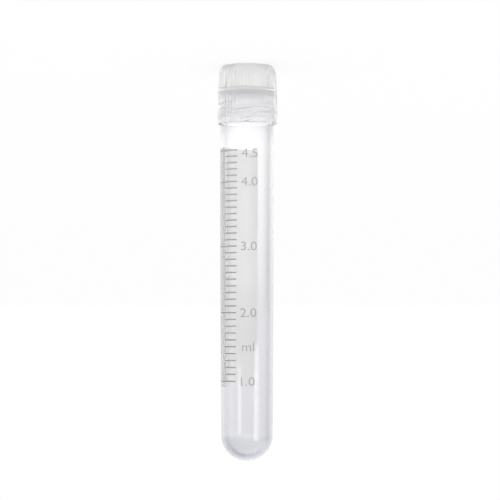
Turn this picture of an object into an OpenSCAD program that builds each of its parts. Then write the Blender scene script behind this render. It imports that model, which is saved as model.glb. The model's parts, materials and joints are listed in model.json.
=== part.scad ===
// Cryogenic storage vial: a round-bottomed tube, a screw cap and the washer that seals it.
// The vial stands on its cap. z = 0 is the cap's flat top, and the round bottom points up.

/* [Tube] */
// Length from the mouth to the end of the round bottom
tube_h = 83; // [75:0.1:90]
// Outer radius of the straight barrel
barrel_r = 6.06; // [6.02:0.01:6.2]
// Length of the straight barrel below the shoulder, before the draft begins
straight_h = 31; // [20:0.1:40]
// Outer radius where the drafted barrel meets the round bottom
foot_r = 5.83; // [5.7:0.01:6]
// Bore radius at the mouth
mouth_r = 4.78; // [4.6:0.01:4.8]
// Bore radius where it meets its own round bottom
bore_foot_r = 4.44; // [4.3:0.01:4.6]
// Wall at the lowest point of the bottom
bottom_wall = 1.4; // [0.5:0.1:1.6]

/* [Neck] */
// Length of the neck, from the mouth to the shoulder
neck_h = 6.7; // [6.5:0.1:7.5]
// Radius of the neck between its threads
neck_r = 5.42; // [5.4:0.01:5.45]
// Height of the slope from the neck out to the barrel, which is nearly a flat ledge
shoulder_h = 0.1; // [0.05:0.05:0.8]
// Chamfer round the outside of the mouth
mouth_chamfer = 0.2; // [0.1:0.05:0.3]

/* [Thread] */
// Ridges that wind side by side on each of the two pieces
thread_starts = 2; // [1:1:2]
// Distance along the axis from one ridge to the next
pitch = 2.01; // [1.95:0.01:2.1]
// Radius over the crest of the neck's thread
neck_crest_r = 5.8; // [5.7:0.01:5.8]
// Turns of each ridge on the neck
neck_turns = 1; // [0.8:0.05:1]
// Distance from the mouth to the middle of a neck ridge where it ends, at the shoulder's side
neck_thread_end = 4.88; // [4.8:0.01:5]
// Direction in which the first neck ridge ends, in degrees from +X
neck_thread_dir = -66; // [-180:1:180]
// Radius over the crest of the cap's thread
cap_crest_r = 5.6; // [5.58:0.01:5.65]
// Turns of each ridge in the cap
cap_turns = 0.88; // [0.7:0.01:0.9]
// How far the cap's ridges run behind the neck's, along the axis
cap_thread_lag = 0.75; // [0.72:0.01:1.1]
// Width of a ridge where it leaves the wall
ridge_root_w = 0.9; // [0.7:0.05:0.9]
// Width of a ridge at its crest
ridge_crest_w = 0.5; // [0.3:0.05:0.5]

/* [Cap] */
// Height of the cap
cap_h = 13.4; // [13.2:0.1:14]
// Outer radius just past the rounded edge of the top
cap_top_r = 6.6; // [6.5:0.01:6.7]
// Outer radius at the rim
cap_rim_r = 6.87; // [6.8:0.01:7]
// Radius of the domed edge between the flat top and the wall
cap_edge_r = 3.5; // [3:0.1:5]
// Height of that edge
cap_edge_h = 2.4; // [1.5:0.1:2.8]
// Radius of the rounded outer edge of the rim
rim_round = 0.35; // [0.1:0.05:0.5]
// Radius of the skirt's bore
skirt_r = 5.95; // [5.9:0.01:6]
// Depth of the skirt's bore, up to the face that the washer lies on
skirt_depth = 7.5; // [7.3:0.1:7.6]
// Chamfer inside the rim, which leads the neck in
rim_chamfer = 0.3; // [0.1:0.05:0.4]
// Radius of the seat for a colour disc in the cap's top
seat_r = 4.5; // [2.5:0.1:4.6]
// Depth of that seat
seat_depth = 5.2; // [2:0.1:5.3]

/* [Grip ribs] */
// Groups of ribs round the cap
rib_groups = 3; // [2:1:4]
// Ribs in a group
group_ribs = 9; // [5:1:10]
// Angle from one rib to the next in a group
rib_step = 7.5; // [6:0.5:9]
// Angle that one rib covers
rib_angle = 3; // [2:0.5:4]
// How far a rib stands out of the cap
rib_out = 0.16; // [0.1:0.01:0.25]
// Direction of the middle of the first group, in degrees from +X
rib_dir = -73; // [-180:1:180]
// Where the ribs begin, from the cap's top
rib_start = 1; // [0.6:0.1:3]
// Height over which a rib rises to its full depth there
rib_run = 0.9; // [0.5:0.1:1.5]
// Where the ribs end, from the cap's top
rib_end = 12.1; // [10:0.1:12.6]

/* [Washer] */
// Outer radius of the washer
washer_r = 5.9; // [5.6:0.01:5.93]
// Radius of its hole
washer_hole_r = 3.7; // [3:0.1:4.2]
// Thickness of the washer
washer_t = 1.3; // [1:0.1:1.4]
// Chamfer round its edges
washer_chamfer = 0.12; // [0.05:0.01:0.2]

/* [Print] */
// Thickness of the printed ink
ink_t = 0.05; // [0.03:0.01:0.1]
// Lowest reading of the volume scale, in tenths of a millilitre
first_reading = 10; // [5:1:15]
// Highest reading of the volume scale, in tenths of a millilitre
last_reading = 45; // [30:1:45]
// Width of a printed line
line_w = 0.3; // [0.2:0.05:0.4]
// Direction in which the scale's lines start at half its height, in degrees from +X
scale_dir = -66.7; // [-180:0.1:180]
// Angle that a short line covers
short_line = 34.8; // [20:0.1:50]
// Angle that a numbered line covers
long_line = 55.5; // [40:0.1:80]
// Distance from the true levels to the printed lines, towards the round bottom
scale_shift = 0.7; // [0:0.05:1]
// Degrees that the printed scale turns round the tube for each millimetre of height
scale_lean = 0.083; // [-0.2:0.001:0.2]
// Distance from the cap's rim to the near edge of the writing patch
patch_gap = 5.4; // [4:0.1:10]
// Height of the writing patch
patch_h = 54.6; // [30:0.1:60]
// Direction in which the writing patch starts, in degrees from +X
patch_dir = -13; // [-180:0.1:180]
// Angle that the writing patch covers
patch_angle = 133; // [60:0.1:180]

/* [Hidden] */
$fn = 96;

washer_z = cap_h - skirt_depth;
mouth_z = washer_z + washer_t;
shoulder_z = mouth_z + neck_h;
draft_z = shoulder_z + straight_h;
bottom_z = mouth_z + tube_h;
dome_z = bottom_z - foot_r;
bore_dome_z = bottom_z - bottom_wall - bore_foot_r;
patch_z = cap_h + patch_gap;
patch_middle_z = patch_z + patch_h / 2;
// Rise of a ridge in one full turn
lead = thread_starts * pitch;
neck_thread_z = mouth_z + neck_thread_end - neck_turns * lead;
neck_thread_start = neck_thread_dir - 360 * neck_turns;
// A ridge is buried this far in its wall, and the rib in the cap, so that they fuse
bury = 0.1;
// A ridge is swept in steps of about this many degrees and fades in and out over some of them
sweep_step = 10;
fade_steps = 2;
// A ridge starts and ends just under its wall's surface
fade_floor = -0.15;
cubic_mm_per_reading = 100;

// Outer radius of the tube at height z, between the shoulder and the round bottom
function wall_r(z) =
    z <= draft_z ? barrel_r : barrel_r + (foot_r - barrel_r) * (z - draft_z) / (dome_z - draft_z);

// Outer radius of the cap at height z, on its domed edge or on its wall
function cap_r(z) =
    z < cap_edge_h
        ? cap_top_r - cap_edge_r + sqrt(pow(cap_edge_r, 2) - pow(cap_edge_h - z, 2))
        : cap_top_r + (cap_rim_r - cap_top_r) * (z - cap_edge_h) / (cap_h - rim_round - cap_edge_h);

// Height at which the drafted bore holds a volume, measured up from the round bottom
function level_z(volume) =
    let (
        draft = (mouth_r - bore_foot_r) / (bore_dome_z - mouth_z),
        dome_volume = 2 / 3 * PI * pow(bore_foot_r, 3),
        frustum = (volume - dome_volume) * 3 * draft / PI,
        level_r = pow(frustum + pow(bore_foot_r, 3), 1 / 3)
    )
    bore_dome_z - (level_r - bore_foot_r) / draft;

// A quarter of a disc, from the axis outwards and upwards
module quarter_disc(r) {
    intersection() {
        circle(r);
        square(r);
    }
}

// A ridge that winds up a round wall as a right-hand helix. It stands on root_r and reaches crest_r,
// outwards on a neck or inwards in a cap, and fades into the wall at both ends.
module thread_ridge(root_r, crest_r, turns, z, dir) {
    out = sign(crest_r - root_r);
    steps = round(turns * 360 / sweep_step);
    function grown(i) =
        max(fade_floor, min(1, fade_floor + min(i, steps - i) * (1 - fade_floor) / fade_steps));
    function section(i) =
        let (
            buried = [root_r - out * bury, ridge_root_w / 2],
            crest = [root_r + (crest_r - root_r) * grown(i), ridge_crest_w / 2],
            inner = out > 0 ? buried : crest,
            outer = out > 0 ? crest : buried
        )
        [[inner[0], -inner[1]], [outer[0], -outer[1]], [outer[0], outer[1]], [inner[0], inner[1]]];
    function around(i) =
        let (a = dir + i * turns * 360 / steps, rise = z + i * turns * lead / steps)
        [for (p = section(i)) [p[0] * cos(a), p[0] * sin(a), rise + p[1]]];
    points = [for (i = [0 : steps]) each around(i)];
    sides = [
        for (i = [0 : steps - 1], j = [0 : 3])
            [4 * i + j, 4 * i + (j + 1) % 4, 4 * i + 4 + (j + 1) % 4, 4 * i + 4 + j]
    ];
    ends = [[3, 2, 1, 0], [for (j = [0 : 3]) 4 * steps + j]];
    polyhedron(points, concat(sides, ends));
}

// All the ridges of one thread, evenly spaced round the axis
module thread(root_r, crest_r, turns, z) {
    for (start = [0 : thread_starts - 1])
        thread_ridge(
            root_r,
            crest_r,
            turns,
            z,
            neck_thread_start + start * 360 / thread_starts
        );
}

module tube_outline() {
    polygon([
        [0, mouth_z],
        [neck_r - mouth_chamfer, mouth_z],
        [neck_r, mouth_z + mouth_chamfer],
        [neck_r, shoulder_z],
        [barrel_r, shoulder_z + shoulder_h],
        [barrel_r, draft_z],
        [foot_r, dome_z],
        [0, dome_z]
    ]);
    translate([0, dome_z])
        quarter_disc(foot_r);
}

module bore_outline() {
    polygon([
        [0, mouth_z - 1],
        [mouth_r, mouth_z - 1],
        [mouth_r, mouth_z],
        [bore_foot_r, bore_dome_z],
        [0, bore_dome_z]
    ]);
    translate([0, bore_dome_z])
        quarter_disc(bore_foot_r);
}

module tube() {
    color("lavender", 0.5) {
        rotate_extrude()
            difference() {
                tube_outline();
                bore_outline();
            }
        thread(neck_r, neck_crest_r, neck_turns, neck_thread_z);
    }
}

module cap_outline() {
    edge_x = cap_top_r - cap_edge_r;
    round_x = cap_rim_r - rim_round;
    round_z = cap_h - rim_round;
    difference() {
        union() {
            square([edge_x, cap_edge_h]);
            intersection() {
                translate([edge_x, cap_edge_h])
                    circle(cap_edge_r);
                square([cap_top_r, cap_edge_h]);
            }
            polygon([
                [0, cap_edge_h],
                [cap_top_r, cap_edge_h],
                [cap_rim_r, round_z],
                [round_x, round_z],
                [round_x, cap_h],
                [0, cap_h]
            ]);
            translate([round_x, round_z])
                quarter_disc(rim_round);
        }
        translate([-1, -1])
            square([seat_r + 1, seat_depth + 1]);
        polygon([
            [-1, washer_z],
            [skirt_r, washer_z],
            [skirt_r, cap_h - rim_chamfer],
            [skirt_r + rim_chamfer, cap_h],
            [skirt_r + rim_chamfer, cap_h + 1],
            [-1, cap_h + 1]
        ]);
    }
}

// One grip rib, with ends that run out into the cap
module grip_rib() {
    rotate([0, 0, -rib_angle / 2])
        rotate_extrude(angle = rib_angle)
            polygon([
                [cap_r(rib_start) - bury, rib_start],
                [cap_r(rib_start + rib_run) + rib_out, rib_start + rib_run],
                [cap_r(rib_end) + rib_out, rib_end - rib_out],
                [cap_r(rib_end) - bury, rib_end]
            ]);
}

module cap() {
    color("gainsboro", 0.8) {
        rotate_extrude()
            cap_outline();
        for (g = [0 : rib_groups - 1], i = [0 : group_ribs - 1])
            rotate([0, 0, rib_dir + g * 360 / rib_groups + (i - (group_ribs - 1) / 2) * rib_step])
                grip_rib();
        thread(skirt_r, cap_crest_r, cap_turns, neck_thread_z + cap_thread_lag);
    }
}

module washer() {
    c = washer_chamfer;
    color("darkgray")
        rotate_extrude()
            translate([0, washer_z])
                polygon([
                    [washer_hole_r + c, 0],
                    [washer_r - c, 0],
                    [washer_r, c],
                    [washer_r, washer_t - c],
                    [washer_r - c, washer_t],
                    [washer_hole_r + c, washer_t],
                    [washer_hole_r, washer_t - c],
                    [washer_hole_r, c]
                ]);
}

// A field of ink on the tube's wall, from height low to high
module ink(low, high, dir, angle) {
    heights = low < draft_z && draft_z < high ? [low, draft_z, high] : [low, high];
    rotate([0, 0, dir])
        rotate_extrude(angle = angle)
            polygon(concat(
                [for (z = heights) [wall_r(z) + ink_t, z]],
                [for (i = [len(heights) - 1 : -1 : 0]) [wall_r(heights[i]), heights[i]]]
            ));
}

module writing_patch() {
    color("white")
        ink(patch_z, patch_z + patch_h, patch_dir, patch_angle);
}

// One line for each tenth of a millilitre. Whole millilitres and the highest reading get long lines.
// The scale leans a little: above and below its middle, its lines start further round the tube.
module graduation_marks() {
    color("dimgray")
        for (reading = [first_reading : last_reading]) {
            z = level_z(reading * cubic_mm_per_reading) + scale_shift;
            dir = scale_dir + scale_lean * (z - patch_middle_z);
            numbered = reading % 10 == 0 || reading == last_reading;
            ink(z - line_w / 2, z + line_w / 2, dir, numbered ? long_line : short_line);
        }
}

cap();
washer();
tube();
writing_patch();
graduation_marks();
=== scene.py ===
import json
import math

import bpy
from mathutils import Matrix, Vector

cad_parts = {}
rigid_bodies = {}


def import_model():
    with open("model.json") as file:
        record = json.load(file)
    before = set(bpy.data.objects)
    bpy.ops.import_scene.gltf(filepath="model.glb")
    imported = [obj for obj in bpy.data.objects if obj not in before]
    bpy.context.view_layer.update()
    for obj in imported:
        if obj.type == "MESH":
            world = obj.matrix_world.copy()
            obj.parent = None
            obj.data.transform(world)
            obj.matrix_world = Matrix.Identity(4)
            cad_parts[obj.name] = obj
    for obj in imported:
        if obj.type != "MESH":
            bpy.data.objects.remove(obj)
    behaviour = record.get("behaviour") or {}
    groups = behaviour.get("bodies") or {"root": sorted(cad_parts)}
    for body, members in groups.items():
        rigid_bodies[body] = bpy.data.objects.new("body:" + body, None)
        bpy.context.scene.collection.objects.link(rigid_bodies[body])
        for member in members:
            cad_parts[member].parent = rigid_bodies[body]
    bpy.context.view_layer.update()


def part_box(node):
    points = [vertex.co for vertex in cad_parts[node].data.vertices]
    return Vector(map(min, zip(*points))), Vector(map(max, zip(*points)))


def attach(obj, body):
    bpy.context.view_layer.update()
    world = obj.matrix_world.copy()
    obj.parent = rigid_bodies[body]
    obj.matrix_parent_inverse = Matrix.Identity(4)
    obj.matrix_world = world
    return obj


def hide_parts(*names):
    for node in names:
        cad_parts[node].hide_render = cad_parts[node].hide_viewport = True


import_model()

# What a new file starts with is cleared away.
for spare in [o for o in bpy.context.scene.objects if o.name in ("Cube", "Light", "Camera")]:
    bpy.data.objects.remove(spare)

# ---------------------------------------------------------------- tube
# The tube: one clear polypropylene moulding with a round bottom, a thin-walled neck and an outside thread.
# It is turned from its wall's section, as the mould's core and cavity are, and the thread is raised on it.
# It stands upside down on its cap, so its mouth is its lowest point.
mm = 0.001
tiny = 0.001 * mm
tube_low, tube_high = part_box("tube")
mouth_z = tube_low.z
bottom_z = tube_high.z
barrel_r = tube_high.x
foot_r = 5.83 * mm
neck_r = 5.42 * mm
mouth_r = 4.78 * mm
mouth_round = 0.18 * mm
bore_foot_r = 4.44 * mm
bottom_wall = 1.4 * mm
shoulder_z = mouth_z + 6.7 * mm
shoulder_round = 0.04 * mm
draft_z = shoulder_z + 31 * mm
dome_z = bottom_z - foot_r
bore_dome_z = bottom_z - bottom_wall - bore_foot_r

# The thread's two ridges wind up from the mouth. Each fades in and out of the wall.
thread_starts = 2
thread_lead = thread_starts * 2.01 * mm
thread_turns = 1
thread_end_z = mouth_z + 4.88 * mm
thread_end_angle = math.radians(-66)
thread_start_z = thread_end_z - thread_turns * thread_lead
thread_start_angle = thread_end_angle - math.tau * thread_turns
thread_height = 0.36 * mm
ridge_half_w = 0.47 * mm
ridge_flank_w = 0.24 * mm
ridge_fade_turns = 0.04


def arc(centre, radius, start, end, steps):
    """Points of an arc in a section, from start to end degrees, where 0 points away from the axis."""
    angles = [math.radians(start + (end - start) * i / steps) for i in range(steps + 1)]
    return [(centre[0] + radius * math.cos(a), centre[1] + radius * math.sin(a)) for a in angles]


def rows(start, end, step):
    """Points of a straight line in a section, no further apart than step."""
    count = math.ceil(math.dist(start, end) / step)
    return [
        (start[0] + (end[0] - start[0]) * i / count, start[1] + (end[1] - start[1]) * i / count)
        for i in range(count + 1)
    ]


def turned(name, section, steps):
    """Draws a section of (radius, height) points by extruding a vertex, and spins it round the axis."""
    bpy.ops.object.select_all(action="DESELECT")
    bpy.ops.mesh.primitive_plane_add(size=mm, location=(0, 0, 0))
    piece = bpy.context.object
    piece.name = piece.data.name = name
    bpy.ops.object.mode_set(mode="EDIT")
    bpy.ops.mesh.merge(type="CENTER")
    bpy.ops.transform.translate(value=(section[0][0], 0, section[0][1]))
    for here, there in zip(section, section[1:]):
        step = (there[0] - here[0], 0, there[1] - here[1])
        bpy.ops.mesh.extrude_vertices_move(TRANSFORM_OT_translate={"value": step})
    bpy.ops.mesh.select_all(action="SELECT")
    bpy.ops.mesh.spin(steps=steps, angle=math.tau, center=(0, 0, 0), axis=(0, 0, 1))
    bpy.ops.mesh.select_all(action="SELECT")
    bpy.ops.mesh.remove_doubles(threshold=0.0001 * mm)
    bpy.ops.mesh.normals_make_consistent(inside=False)
    bpy.ops.object.mode_set(mode="OBJECT")
    return piece


def thread_rise(angle, height, start_angle, start_z, turns):
    """How much of its full height the nearest winding ridge has at a place on the wall, from 0 to 1."""
    best = 0
    for start in range(thread_starts):
        t = ((angle - start_angle) / math.tau - start / thread_starts) % 1
        if t < turns:
            off = abs(height - start_z - t * thread_lead)
            flank = min(1, max(0, (ridge_half_w - off) / ridge_flank_w))
            fade = min(1, t / ridge_fade_turns, (turns - t) / ridge_fade_turns)
            best = max(best, flank * fade)
    return best


def raise_thread(piece, low, high, wall, turns, start_angle, start_z, rise):
    """Moves the vertices of a straight wall out, or in where rise is negative, along the winding ridge."""
    for v in piece.data.vertices:
        r = math.hypot(v.co.x, v.co.y)
        if low < v.co.z < high and abs(r - wall) < tiny:
            up = thread_rise(math.atan2(v.co.y, v.co.x), v.co.z, start_angle, start_z, turns)
            v.co.x *= (wall + rise * up) / wall
            v.co.y *= (wall + rise * up) / wall


# The section runs down the outside from the round bottom to the mouth, and back up the bore.
# The neck's rows are close together, because the thread is raised on them.
wall_step = 5 * mm
bore_step = 8 * mm
neck_step = 0.045 * mm
tube_section = (
    arc((0, dome_z), foot_r, 90, 0, 32)
    + rows((foot_r, dome_z), (barrel_r, draft_z), wall_step)[1:]
    + rows((barrel_r, draft_z), (barrel_r, shoulder_z + shoulder_round), wall_step)[1:]
    + arc((barrel_r - shoulder_round, shoulder_z + shoulder_round), shoulder_round, 0, -90, 5)[1:]
    + rows((neck_r, shoulder_z), (neck_r, mouth_z + mouth_round), neck_step)
    + arc((neck_r - mouth_round, mouth_z + mouth_round), mouth_round, 0, -90, 6)[1:]
    + arc((mouth_r + mouth_round / 2, mouth_z + mouth_round / 2), mouth_round / 2, -90, -180, 4)
    + rows((mouth_r, mouth_z + mouth_round), (bore_foot_r, bore_dome_z), bore_step)
    + arc((0, bore_dome_z), bore_foot_r, 0, 90, 32)[1:]
)
tube = turned("tube_moulding", tube_section, steps=256)
raise_thread(
    tube,
    low=mouth_z + mouth_round,
    high=shoulder_z,
    wall=neck_r,
    turns=thread_turns,
    start_angle=thread_start_angle,
    start_z=thread_start_z,
    rise=thread_height,
)
moulded_edge = math.radians(62)
bpy.ops.object.shade_smooth_by_angle(angle=moulded_edge)


def nodes_of(name):
    """A new material, its node tree and its Principled shader."""
    material = bpy.data.materials.new(name)
    material.use_nodes = True
    return material, material.node_tree, material.node_tree.nodes["Principled BSDF"]


def spread(nodes, links, value, start, end, low=0, high=1):
    """A node that goes evenly from a low result to a high one as a value goes from a start to an end."""
    spreading = nodes.new("ShaderNodeMapRange")
    spreading.inputs["From Min"].default_value = start
    spreading.inputs["From Max"].default_value = end
    spreading.inputs["To Min"].default_value = low
    spreading.inputs["To Max"].default_value = high
    links.new(value, spreading.inputs["Value"])
    return spreading


def polypropylene(name, colour, milk, grain, smooth, rough, stretch=1):
    """Moulded plastic, clear but for its milk. Its surface varies from smooth to rough in a fine grain.

    The grain is about how many spots fit in a metre. A stretch below 1 draws them out along the axis.
    """
    material, tree, plastic = nodes_of(name)
    nodes, links = tree.nodes, tree.links
    plastic.inputs["Base Color"].default_value = (*colour, 1)
    plastic.inputs["IOR"].default_value = 1.49
    plastic.inputs["Transmission Weight"].default_value = 1 - milk
    place = nodes.new("ShaderNodeTexCoord")
    flow = nodes.new("ShaderNodeMapping")
    flow.inputs["Scale"].default_value = (1, 1, stretch)
    links.new(place.outputs["Object"], flow.inputs["Vector"])
    noise = nodes.new("ShaderNodeTexNoise")
    noise.inputs["Scale"].default_value = grain
    noise.inputs["Detail"].default_value = 1
    links.new(flow.outputs["Vector"], noise.inputs["Vector"])
    gloss = spread(nodes, links, noise.outputs["Fac"], 0.4, 0.6, smooth, rough)
    links.new(gloss.outputs["Result"], plastic.inputs["Roughness"])
    return material


clear = polypropylene(
    "clear_polypropylene", (0.997, 0.997, 1), milk=0.012, grain=400, smooth=0.02, rough=0.06, stretch=0.05
)
tube.data.materials.append(clear)
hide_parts("tube")
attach(tube, "tube")

# ---------------------------------------------------------------- cap
# The screw cap: one translucent polypropylene moulding with three groups of grip ribs and an inside thread.
# It is turned from its section. The ribs and the thread are then raised on the turned walls.
# A seat for a colour disc is sunk into its flat top, which it stands on.
cap_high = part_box("cap")[1]
washer_low, washer_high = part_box("washer")
rim_z = cap_high.z
ceiling_z = washer_low.z
cap_top_r = 6.6 * mm
cap_rim_r = 6.87 * mm
skirt_r = 5.95 * mm
rim_round = 0.35 * mm
rim_chamfer = 0.3 * mm
ceiling_round = 0.3 * mm
seat_r = 4.5 * mm
seat_depth = 5.2 * mm
seat_round = 0.15 * mm

# The side curves in towards the top on a wide arc. It eases over the edge into the flat top in three points,
# each so far in from the edge and up from the top.
top_curve_r = 3.5 * mm
top_curve_h = 2.4 * mm
top_curve_start = -math.degrees(math.asin(top_curve_h / top_curve_r))
top_curve_x = cap_top_r - top_curve_r
top_edge_r = top_curve_x + top_curve_r * math.cos(math.radians(top_curve_start))
top_edge_ease = ((0.3 * mm, 0), (0.15 * mm, 0.012 * mm), (0.03 * mm, 0.05 * mm))
side_step = 0.5 * mm
skirt_step = 0.05 * mm
cap_section = (
    [(0, seat_depth), (seat_r - seat_round, seat_depth)]
    + arc((seat_r - seat_round, seat_depth - seat_round), seat_round, 90, 0, 4)[1:]
    + arc((seat_r + seat_round, seat_round), seat_round, 180, 270, 4)
    + [(top_edge_r - inwards, up) for inwards, up in top_edge_ease]
    + arc((top_curve_x, top_curve_h), top_curve_r, top_curve_start + 2, 0, 20)
    + rows((cap_top_r, top_curve_h), (cap_rim_r, rim_z - rim_round), side_step)[1:]
    + arc((cap_rim_r - rim_round, rim_z - rim_round), rim_round, 0, 90, 8)[1:]
    + [(skirt_r + rim_chamfer, rim_z), (skirt_r, rim_z - rim_chamfer)]
    + rows((skirt_r, rim_z - rim_chamfer), (skirt_r, ceiling_z + ceiling_round), skirt_step)[1:]
    + arc((skirt_r - ceiling_round, ceiling_z + ceiling_round), ceiling_round, 0, -90, 5)[1:]
    + [(0, ceiling_z)]
)

# Angles round the cap in degrees, each with its share of the rib's height. They are close together at a rib.
rib_groups, group_ribs = 3, 9
rib_step = 7.5
rib_middle = -73
rib_half_w = 1.5
rib_profile = ((-1, 0), (-0.85, 0.4), (-0.65, 0.85), (-0.3, 1), (0.3, 1), (0.65, 0.85), (0.85, 0.4), (1, 0))
plain_step = 1.5
columns = []
for group in range(rib_groups):
    first = rib_middle + group * 360 / rib_groups - (group_ribs - 1) / 2 * rib_step
    for rib in range(group_ribs):
        middle = first + rib * rib_step
        columns += [(middle + off * rib_half_w, up) for off, up in rib_profile]
        after = rib_step if rib < group_ribs - 1 else 360 / rib_groups - (group_ribs - 1) * rib_step
        gap = after - 2 * rib_half_w
        fill = round(gap / plain_step)
        columns += [(middle + rib_half_w + gap * i / fill, 0) for i in range(1, fill)]

# The cap is turned with even steps. Each column of its mesh then goes to its own angle, and the ribs rise.
rib_height = 0.155 * mm
rib_start_z, rib_end_z = 0.6 * mm, 12.1 * mm
rib_run_in, rib_run_out = 2.2 * mm, 0.2 * mm
cap = turned("cap_moulding", cap_section, steps=len(columns))
turn_step = math.tau / len(columns)
for v in cap.data.vertices:
    r = math.hypot(v.co.x, v.co.y)
    if r < tiny:
        continue
    angle, up = columns[round(math.atan2(v.co.y, v.co.x) / turn_step) % len(columns)]
    if r > skirt_r + rim_chamfer:
        fade = min(1, (v.co.z - rib_start_z) / rib_run_in, (rib_end_z - v.co.z) / rib_run_out)
        r += rib_height * up * max(0, fade)
    v.co.x = r * math.cos(math.radians(angle))
    v.co.y = r * math.sin(math.radians(angle))

# The cap's ridges lie just past the neck's, seen from the mouth, and hold the mouth to the washer.
cap_thread_low = ceiling_z + 0.5 * mm
raise_thread(
    cap,
    low=cap_thread_low,
    high=rim_z - rim_chamfer,
    wall=skirt_r,
    turns=0.97,
    start_angle=thread_start_angle,
    start_z=thread_start_z + 0.75 * mm,
    rise=-0.33 * mm,
)
bpy.ops.object.shade_smooth_by_angle(angle=moulded_edge)


def frosted(material, height, extra):
    """Roughens a finish towards the foot of the piece, from a height down."""
    nodes, links = material.node_tree.nodes, material.node_tree.links
    roughness = nodes["Principled BSDF"].inputs["Roughness"]
    gloss = roughness.links[0].from_socket
    place = nodes.new("ShaderNodeTexCoord")
    axes = nodes.new("ShaderNodeSeparateXYZ")
    links.new(place.outputs["Object"], axes.inputs["Vector"])
    frost = spread(nodes, links, axes.outputs["Z"], height, 0, 0, extra)
    frost.interpolation_type = "SMOOTHSTEP"
    total = nodes.new("ShaderNodeMath")
    total.operation = "ADD"
    links.new(gloss, total.inputs[0])
    links.new(frost.outputs["Result"], total.inputs[1])
    links.new(total.outputs["Value"], roughness)


# The moulding is polished outside, frosted towards its top edge, matt inside and coarser in the seat.
# The thread's flanks that face the rim are painted dark grey: painted shade for the thread's dark lines.
cap_grain = 12000
polished = polypropylene(
    "polished_polypropylene", (0.985, 0.985, 0.99), milk=0.23, grain=cap_grain, smooth=0.03, rough=0.12
)
frosted(polished, height=2.8 * mm, extra=0.35)
matt = polypropylene(
    "matt_polypropylene", (0.97, 0.97, 0.975), milk=0.02, grain=cap_grain, smooth=0.25, rough=0.4
)
# The seat's warm tint is a painted highlight.
coarse = polypropylene(
    "seat_polypropylene", (1, 0.985, 0.965), milk=0.18, grain=cap_grain, smooth=0.4, rough=0.55
)
# Painted shade: a dark grey finish for the thread flanks that face the rim.
flank_shade = polypropylene(
    "flank_shade_polypropylene", (0.36, 0.36, 0.38), milk=0.02, grain=cap_grain, smooth=0.25, rough=0.4
)
cap_finishes = [polished, matt, coarse, flank_shade]
for finish in cap_finishes:
    cap.data.materials.append(finish)
flank_shade_high = rim_z - 1.6 * mm
flank_shade_slope = 0.4
for face in cap.data.polygons:
    outward = face.center.x * face.normal.x + face.center.y * face.normal.y > 0
    if outward or face.center.z <= tiny:
        continue
    in_seat = face.center.z < seat_depth + tiny
    on_flank = face.normal.z > flank_shade_slope and cap_thread_low < face.center.z < flank_shade_high
    finish = flank_shade if on_flank else coarse if in_seat else matt
    face.material_index = cap_finishes.index(finish)
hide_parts("cap")
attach(cap, "cap")

# ---------------------------------------------------------------- washer
# The sealing washer: a cut ring of soft grey silicone, pushed into the cap down to its ceiling.
# The tube's mouth presses it there, so it is a hair thicker and wider than its room.
washer_squeeze = 0.01 * mm
washer_hole_r = 3.7 * mm
washer_r = skirt_r + washer_squeeze
washer_round = 0.12 * mm
washer_top = washer_high.z + washer_squeeze
washer_under = washer_low.z - washer_squeeze
washer_section = (
    arc((washer_hole_r + washer_round, washer_under + washer_round), washer_round, 180, 270, 4)
    + arc((washer_r - washer_round, washer_under + washer_round), washer_round, -90, 0, 4)
    + arc((washer_r - washer_round, washer_top - washer_round), washer_round, 0, 90, 4)
    + arc((washer_hole_r + washer_round, washer_top - washer_round), washer_round, 90, 180, 4)
)
washer = turned("sealing_washer", washer_section + washer_section[:1], steps=128)
bpy.ops.object.shade_smooth_by_angle(angle=math.radians(50))
material, tree, silicone = nodes_of("grey_silicone")
silicone.inputs["Roughness"].default_value = 0.6
silicone.inputs["Specular IOR Level"].default_value = 0.3
silicone.inputs["Subsurface Weight"].default_value = 1
silicone.inputs["Subsurface Radius"].default_value = (1, 1, 1)
silicone.inputs["Subsurface Scale"].default_value = 0.4 * mm
place = tree.nodes.new("ShaderNodeTexCoord")
speckle = tree.nodes.new("ShaderNodeTexNoise")
speckle.inputs["Scale"].default_value = 2500
tree.links.new(place.outputs["Object"], speckle.inputs["Vector"])
tone = tree.nodes.new("ShaderNodeValToRGB")
tone.color_ramp.elements[0].color = (0.62, 0.62, 0.635, 1)
tone.color_ramp.elements[1].color = (0.7, 0.7, 0.715, 1)
tree.links.new(speckle.outputs["Fac"], tone.inputs["Fac"])
tree.links.new(tone.outputs["Color"], silicone.inputs["Base Color"])
washer.data.materials.append(material)
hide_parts("washer")
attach(washer, "washer")

# ---------------------------------------------------------------- print
# The ink on the tube: a white field for handwriting on the back, and the volume scale in grey on the front.
# It is screen printed in thin skins that follow the wall, a few thousandths of a millimetre off it, so that
# the two surfaces never meet.
ink_t = 0.04 * mm
ink_gap = 0.004 * mm


def wall_r(z):
    """The barrel's radius at a height."""
    if z < draft_z:
        return barrel_r
    return barrel_r + (foot_r - barrel_r) * (z - draft_z) / (dome_z - draft_z)


def wrapped(piece, start_angle, way=1):
    """Bends a flat skin round the wall.

    Its x runs round the tube, backwards where way is -1. Its y is its height and its z its thickness.
    """
    for v in piece.data.vertices:
        r = wall_r(v.co.y) + ink_gap + v.co.z
        a = start_angle + way * v.co.x / barrel_r
        v.co = (r * math.cos(a), r * math.sin(a), v.co.y)


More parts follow.
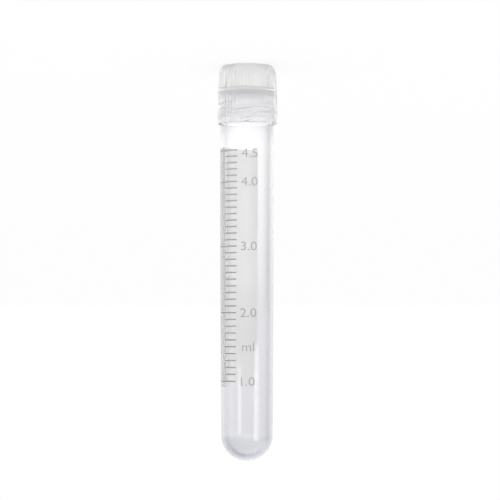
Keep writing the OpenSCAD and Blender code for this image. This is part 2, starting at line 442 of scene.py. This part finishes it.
def printed_field(name, low, high, start, angle, steps_round, steps_up):
    """A flat grid of ink with thickness, wrapped on the wall."""
    width = angle * barrel_r
    bpy.ops.object.select_all(action="DESELECT")
    bpy.ops.mesh.primitive_grid_add(
        x_subdivisions=steps_round,
        y_subdivisions=steps_up,
        size=1,
        location=(width / 2, (low + high) / 2, 0),
    )
    piece = bpy.context.object
    piece.name = piece.data.name = name
    piece.scale = (width, high - low, 1)
    bpy.ops.object.transform_apply(location=True, rotation=True, scale=True)
    bpy.ops.object.mode_set(mode="EDIT")
    bpy.ops.mesh.select_all(action="SELECT")
    bpy.ops.mesh.extrude_region_move(TRANSFORM_OT_translate={"value": (0, 0, ink_t)})
    bpy.ops.mesh.select_all(action="SELECT")
    bpy.ops.mesh.normals_make_consistent(inside=False)
    bpy.ops.object.mode_set(mode="OBJECT")
    wrapped(piece, start)
    return piece


def multiply(nodes, links, a, b):
    """The product of two colours."""
    both = nodes.new("ShaderNodeMix")
    both.data_type = "RGBA"
    both.blend_type = "MULTIPLY"
    both.inputs["Factor"].default_value = 1
    links.new(a, both.inputs["A"])
    links.new(b, both.inputs["B"])
    return both.outputs["Result"]


def ink(name, colour, grain, axis, start, end, change):
    """Matt screen ink, faintly grained.

    Its tone is multiplied by painted light and shade, which goes from 1 at a start to change at an end along
    an axis.
    """
    material, tree, paint = nodes_of(name)
    nodes, links = tree.nodes, tree.links
    paint.inputs["Roughness"].default_value = 0.6
    place = nodes.new("ShaderNodeTexCoord")
    noise = nodes.new("ShaderNodeTexNoise")
    noise.inputs["Scale"].default_value = 1500
    links.new(place.outputs["Object"], noise.inputs["Vector"])
    tone = nodes.new("ShaderNodeValToRGB")
    tone.color_ramp.elements[0].color = (*[c * (1 - grain) for c in colour], 1)
    tone.color_ramp.elements[1].color = (*[min(1, c * (1 + grain)) for c in colour], 1)
    links.new(noise.outputs["Fac"], tone.inputs["Fac"])
    axes = nodes.new("ShaderNodeSeparateXYZ")
    links.new(place.outputs["Object"], axes.inputs["Vector"])
    # The painted light and shade along the axis.
    painted_shading = spread(nodes, links, axes.outputs[axis], start, end, 1, change)
    painted_tone = multiply(nodes, links, tone.outputs["Color"], painted_shading.outputs["Result"])
    links.new(painted_tone, paint.inputs["Base Color"])
    return material


# The white field. Its ink is painted darker towards the barrel's side at +X: painted shade, for the weaker
# light on that side.
patch_low, patch_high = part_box("writing_patch")
patch_start, patch_angle = math.radians(-13), math.radians(133)
painted_shade_x = 4.4 * mm
patch = printed_field(
    "writing_field", patch_low.z, patch_high.z, patch_start, patch_angle, steps_round=76, steps_up=24
)
white_ink = ink(
    "white_screen_ink",
    (0.895, 0.895, 0.885),
    grain=0.01,
    axis="X",
    start=painted_shade_x,
    end=barrel_r,
    change=0.74,
)
patch.data.materials.append(white_ink)
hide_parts("writing_patch")
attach(patch, "tube")

# The scale has a line for each tenth of a millilitre, longer at whole ones and at the highest.
# It leans a little, and its ink is painted lighter towards the cap: painted light.
plain_tone_z, painted_light_z = 50 * mm, 18 * mm
line_ink = ink(
    "grey_screen_ink",
    (0.335, 0.335, 0.345),
    grain=0.1,
    axis="Z",
    start=plain_tone_z,
    end=painted_light_z,
    change=1.22,
)
# The numerals are painted lighter towards the cap too: painted light.
numeral_ink = ink(
    "light_screen_ink",
    (0.41, 0.41, 0.42),
    grain=0.1,
    axis="Z",
    start=plain_tone_z,
    end=painted_light_z,
    change=1.15,
)
tenth_ml = 1e-7
first_reading, last_reading = 10, 45
line_w = 0.3 * mm
long_line, short_line = math.radians(55.5), math.radians(31.3)
scale_start = math.radians(-66.6)
scale_shift = 0.7 * mm
skew = math.radians(0.083) / mm
skew_middle_z = (patch_low.z + patch_high.z) / 2
draft = (mouth_r - bore_foot_r) / (bore_dome_z - mouth_z)


def level_z(volume):
    """The height of the printed line for a volume in cubic metres.

    The print sits a little off the true level, by scale_shift.
    """
    dome = 2 / 3 * math.pi * bore_foot_r**3
    level_r = ((volume - dome) * 3 * draft / math.pi + bore_foot_r**3) ** (1 / 3)
    return bore_dome_z - (level_r - bore_foot_r) / draft + scale_shift


lines = []
for reading in range(first_reading, last_reading + 1):
    z = level_z(reading * tenth_ml)
    numbered = reading % 10 == 0 or reading == last_reading
    angle = long_line if numbered else short_line
    start = scale_start + skew * (z - skew_middle_z)
    line = printed_field(
        f"scale_line_{reading}", z - line_w / 2, z + line_w / 2, start, angle, steps_round=24, steps_up=1
    )
    lines.append(line)
bpy.ops.object.select_all(action="DESELECT")
for line in lines:
    line.select_set(True)
bpy.context.view_layer.objects.active = lines[0]
bpy.ops.object.join()
scale_lines = bpy.context.object
scale_lines.name = scale_lines.data.name = "scale_lines"
scale_lines.data.materials.append(line_ink)
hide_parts("graduation_marks")
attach(scale_lines, "tube")

# The numerals stand beside their lines, and the unit between the lowest two. The highest is set past its
# line, towards the round bottom.
numeral_middle = math.radians(-93.9)
numeral_size = 2.86 * mm
numeral_stretch = 1.13
bend_step = 0.25 * mm
for text, reading, past in (
    ("4.5", 45, 0.7 * mm),
    ("4.0", 40, 0),
    ("3.0", 30, 0),
    ("2.0", 20, 0),
    ("ml", 15, 0),
    ("1.0", 10, 0),
):
    bpy.ops.object.select_all(action="DESELECT")
    bpy.ops.object.text_add(location=(0, 0, 0))
    label = bpy.context.object
    label.name = "numeral_" + text.replace(".", "_")
    label.data.body = text
    label.data.size = numeral_size
    label.data.extrude = ink_t / 2
    label.data.resolution_u = 6
    bpy.ops.object.convert(target="MESH")
    low = min(v.co.y for v in label.data.vertices)
    high = max(v.co.y for v in label.data.vertices)
    left = min(v.co.x for v in label.data.vertices)
    right = max(v.co.x for v in label.data.vertices)
    bpy.ops.object.mode_set(mode="EDIT")
    cut = left + bend_step
    while cut < right:
        bpy.ops.mesh.select_all(action="SELECT")
        bpy.ops.mesh.bisect(plane_co=(cut, 0, 0), plane_no=(1, 0, 0))
        cut += bend_step
    bpy.ops.object.mode_set(mode="OBJECT")
    centre_z = level_z(reading * tenth_ml) + past
    for v in label.data.vertices:
        across = (v.co.x - (left + right) / 2) * numeral_stretch
        v.co = (across, centre_z - (v.co.y - (low + high) / 2), v.co.z + ink_t / 2)
    wrapped(label, numeral_middle + skew * (centre_z - skew_middle_z), -1)
    label.data.materials.append(numeral_ink)
    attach(label, "tube")

# ---------------------------------------------------------------- studio
# A pale sweep under soft light from all round. What is seen in and through the plastic darkens a little to
# the sides, overhead and far off, as a real studio does. To the camera itself the sweep and the room are
# plain white. Left is -X here, as for someone who faces the volume scale.


def side_falloff(nodes, links, across, left, right):
    """Brightness by how far a direction turns from straight back or front.

    The direction's place across is -1 square to the left and 1 square to the right. Left and right are the
    levels there.
    """
    place = spread(nodes, links, across, -1, 1)
    ramp = nodes.new("ShaderNodeValToRGB")
    ramp.color_ramp.interpolation = "B_SPLINE"
    ramp.color_ramp.elements[0].position = 0
    ramp.color_ramp.elements[0].color = (left, left, left + 0.01, 1)
    ramp.color_ramp.elements[1].position = 1
    ramp.color_ramp.elements[1].color = (right, right, right + 0.01, 1)
    for side, level in (
        (-0.8, left + 0.05),
        (-0.5, left + 0.11),
        (-0.24, 0.87),
        (0, 1),
        (0.37, 0.89),
        (0.8, right + 0.01),
    ):
        stop = ramp.color_ramp.elements.new((side + 1) / 2)
        stop.color = (level, level, level + 0.01, 1)
    links.new(place.outputs["Result"], ramp.inputs["Fac"])
    return ramp.outputs["Color"]


def first_look(nodes, links):
    """The kinds of ray, and 1 for a ray that comes straight through or off clear plastic.

    Once a ray has met a matt surface it is 0.
    """
    rays = nodes.new("ShaderNodeLightPath")
    either = nodes.new("ShaderNodeMath")
    either.operation = "MAXIMUM"
    links.new(rays.outputs["Is Glossy Ray"], either.inputs[0])
    links.new(rays.outputs["Is Transmission Ray"], either.inputs[1])
    clear = nodes.new("ShaderNodeMath")
    clear.operation = "LESS_THAN"
    clear.inputs[1].default_value = 0.5
    links.new(rays.outputs["Diffuse Depth"], clear.inputs[0])
    both = nodes.new("ShaderNodeMath")
    both.operation = "MULTIPLY"
    links.new(either.outputs["Value"], both.inputs[0])
    links.new(clear.outputs["Value"], both.inputs[1])
    return rays, both.outputs["Value"]


floor_r = 8
floor_z = -0.02 * mm
bpy.ops.object.select_all(action="DESELECT")
bpy.ops.mesh.primitive_circle_add(vertices=128, radius=floor_r, fill_type="NGON", location=(0, 0, floor_z))
floor = bpy.context.object
floor.name = "floor"
material, tree, paint = nodes_of("pale_floor")
nodes, links = tree.nodes, tree.links
paint.inputs["Base Color"].default_value = (0.9, 0.9, 0.9, 1)
paint.inputs["Roughness"].default_value = 0.9
paint.inputs["Specular IOR Level"].default_value = 0

# To the camera the floor is mostly plain white, and the rest takes the vial's shadow.
rays, look = first_look(nodes, links)
white = nodes.new("ShaderNodeEmission")
white.inputs["Color"].default_value = (1, 1, 1, 1)
white.inputs["Strength"].default_value = 1.03
share = nodes.new("ShaderNodeMath")
share.operation = "MULTIPLY"
share.inputs[1].default_value = 0.7
links.new(rays.outputs["Is Camera Ray"], share.inputs[0])
lifted = nodes.new("ShaderNodeMixShader")
links.new(share.outputs["Value"], lifted.inputs["Fac"])
links.new(paint.outputs["BSDF"], lifted.inputs[1])
links.new(white.outputs["Emission"], lifted.inputs[2])

# The floor that shows in the plastic is brightest close by, and darkens from 6 cm out to 8 m. The falloff
# goes by the decades of the distance.
spot = nodes.new("ShaderNodeNewGeometry")
reach = nodes.new("ShaderNodeVectorMath")
reach.operation = "LENGTH"
links.new(spot.outputs["Position"], reach.inputs[0])
decades = nodes.new("ShaderNodeMath")
decades.operation = "LOGARITHM"
decades.inputs[1].default_value = 10
links.new(reach.outputs["Value"], decades.inputs[0])
fall = spread(nodes, links, decades.outputs["Value"], -1.2, 0.9, 1.28, 0.89)

# It also darkens to the sides, though not within the first 3 cm.
outward = nodes.new("ShaderNodeVectorMath")
outward.operation = "NORMALIZE"
links.new(spot.outputs["Position"], outward.inputs[0])
axes = nodes.new("ShaderNodeSeparateXYZ")
links.new(outward.outputs["Vector"], axes.inputs["Vector"])
sides = side_falloff(nodes, links, axes.outputs["X"], 0.59, 0.74)
near = spread(nodes, links, decades.outputs["Value"], -1.5, -0.8)
even = nodes.new("ShaderNodeMix")
even.data_type = "RGBA"
even.inputs["A"].default_value = (1, 1, 1, 1)
links.new(near.outputs["Result"], even.inputs["Factor"])
links.new(sides, even.inputs["B"])
sweep = nodes.new("ShaderNodeEmission")
swept = multiply(nodes, links, even.outputs["Result"], fall.outputs["Result"])
links.new(swept, sweep.inputs["Color"])
seen = nodes.new("ShaderNodeMixShader")
links.new(look, seen.inputs["Fac"])
links.new(lifted.outputs["Shader"], seen.inputs[1])
links.new(sweep.outputs["Emission"], seen.inputs[2])
links.new(seen.outputs["Shader"], nodes["Material Output"].inputs["Surface"])
floor.data.materials.append(material)

# The room. Its walls darken to the sides and upwards.
world = bpy.data.worlds.new("studio")
bpy.context.scene.world = world
world.use_nodes = True
nodes, links = world.node_tree.nodes, world.node_tree.links
rays, look = first_look(nodes, links)
way = nodes.new("ShaderNodeTexCoord")
axes = nodes.new("ShaderNodeSeparateXYZ")
links.new(way.outputs["Generated"], axes.inputs["Vector"])
sides = side_falloff(nodes, links, axes.outputs["X"], 0.67, 0.81)
above = nodes.new("ShaderNodeValToRGB")
above.color_ramp.elements[0].position = 0
above.color_ramp.elements[0].color = (0.925, 0.925, 0.947, 1)
above.color_ramp.elements[1].position = 1
above.color_ramp.elements[1].color = (0.48, 0.49, 0.53, 1)
for height, colour in (
    (0.03, (0.89, 0.89, 0.913)),
    (0.07, (0.85, 0.85, 0.875)),
    (0.1, (0.74, 0.75, 0.78)),
    (0.2, (0.69, 0.7, 0.74)),
    (0.5, (0.63, 0.64, 0.68)),
):
    stop = above.color_ramp.elements.new(height)
    stop.color = (*colour, 1)
links.new(axes.outputs["Z"], above.inputs["Fac"])
walls = multiply(nodes, links, sides, above.outputs["Color"])

# Higher up, the walls are brighter on the left.
higher = spread(nodes, links, axes.outputs["Z"], 0.1, 0.4)
slant = spread(nodes, links, axes.outputs["X"], -0.6, 0.15, 1.45, 0.96)
lean = nodes.new("ShaderNodeMix")
lean.inputs["A"].default_value = 1
links.new(higher.outputs["Result"], lean.inputs["Factor"])
links.new(slant.outputs["Result"], lean.inputs["B"])
leaning = multiply(nodes, links, walls, lean.outputs["Result"])

# In front, behind the camera, the room is dark.
ahead = spread(nodes, links, axes.outputs["Y"], 0, -0.6, 0, 0.95)
ahead.interpolation_type = "SMOOTHSTEP"
front = nodes.new("ShaderNodeMix")
front.data_type = "RGBA"
front.inputs["B"].default_value = (0.12, 0.12, 0.12, 1)
links.new(ahead.outputs["Result"], front.inputs["Factor"])
links.new(leaning, front.inputs["A"])
room = nodes.new("ShaderNodeBackground")
links.new(front.outputs["Result"], room.inputs["Color"])

# The soft light itself comes evenly from all round, but less from the left, where the softbox stands.
light = nodes["Background"]
light.inputs["Strength"].default_value = 1
soft_light = spread(nodes, links, axes.outputs["X"], -1, 0, 0.66, 1.07)
links.new(soft_light.outputs["Result"], light.inputs["Color"])
white = nodes.new("ShaderNodeBackground")
white.inputs["Color"].default_value = (1, 1, 1, 1)
lit = nodes.new("ShaderNodeMixShader")
links.new(look, lit.inputs["Fac"])
links.new(light.outputs["Background"], lit.inputs[1])
links.new(room.outputs["Background"], lit.inputs[2])
choose = nodes.new("ShaderNodeMixShader")
links.new(rays.outputs["Is Camera Ray"], choose.inputs["Fac"])
links.new(lit.outputs["Shader"], choose.inputs[1])
links.new(white.outputs["Background"], choose.inputs[2])
links.new(choose.outputs["Shader"], nodes["World Output"].inputs["Surface"])

# The softbox stands to the front and left. It draws the long highlight down the barrel and the spot on its
# round bottom.
azimuth = math.radians(45.5)
elevation = math.radians(13)
softbox_distance = 0.5
softbox_w, softbox_h = 0.2, 0.22
softbox_level = 2.4
aim_z = 0.07
bpy.ops.object.light_add(
    type="AREA",
    location=(
        -softbox_distance * math.sin(azimuth) * math.cos(elevation),
        -softbox_distance * math.cos(azimuth) * math.cos(elevation),
        aim_z + softbox_distance * math.sin(elevation),
    ),
)
softbox = bpy.context.object
softbox.name = "softbox"
softbox.data.shape = "RECTANGLE"
softbox.data.size = softbox_w
softbox.data.size_y = softbox_h
softbox.data.energy = softbox_level * math.pi * softbox_w * softbox_h
aim = Vector((0, 0, aim_z)) - softbox.location
softbox.rotation_euler = aim.to_track_quat("-Z", "Y").to_euler()

# ---------------------------------------------------------------- camera
# A long lens, set above the middle of the vial and aimed just below it.
# It hangs upside down, because the vial stands on its cap.
camera_z = 58.2 * mm
target_z = 42.2 * mm
distance = 476 * mm
aside = -0.69 * mm
camera_data = bpy.data.cameras.new("camera")
camera = bpy.data.objects.new("camera", camera_data)
bpy.context.scene.collection.objects.link(camera)
camera_data.lens = 150
camera_data.clip_start = 0.01
camera.location = (aside, -distance, camera_z)
aim = Vector((aside, 0, target_z)) - camera.location
camera.rotation_euler = aim.to_track_quat("-Z", "Y").to_euler()
camera.rotation_euler.rotate_axis("Z", math.pi)
bpy.context.scene.camera = camera

# Many bounces, because light crosses the cap, the neck and both their threads twice.
cycles = bpy.context.scene.cycles
cycles.blur_glossy = 0
cycles.max_bounces = 48
cycles.transmission_bounces = 48
cycles.glossy_bounces = 24
cycles.diffuse_bounces = 12
bpy.context.scene.view_settings.view_transform = "Standard"
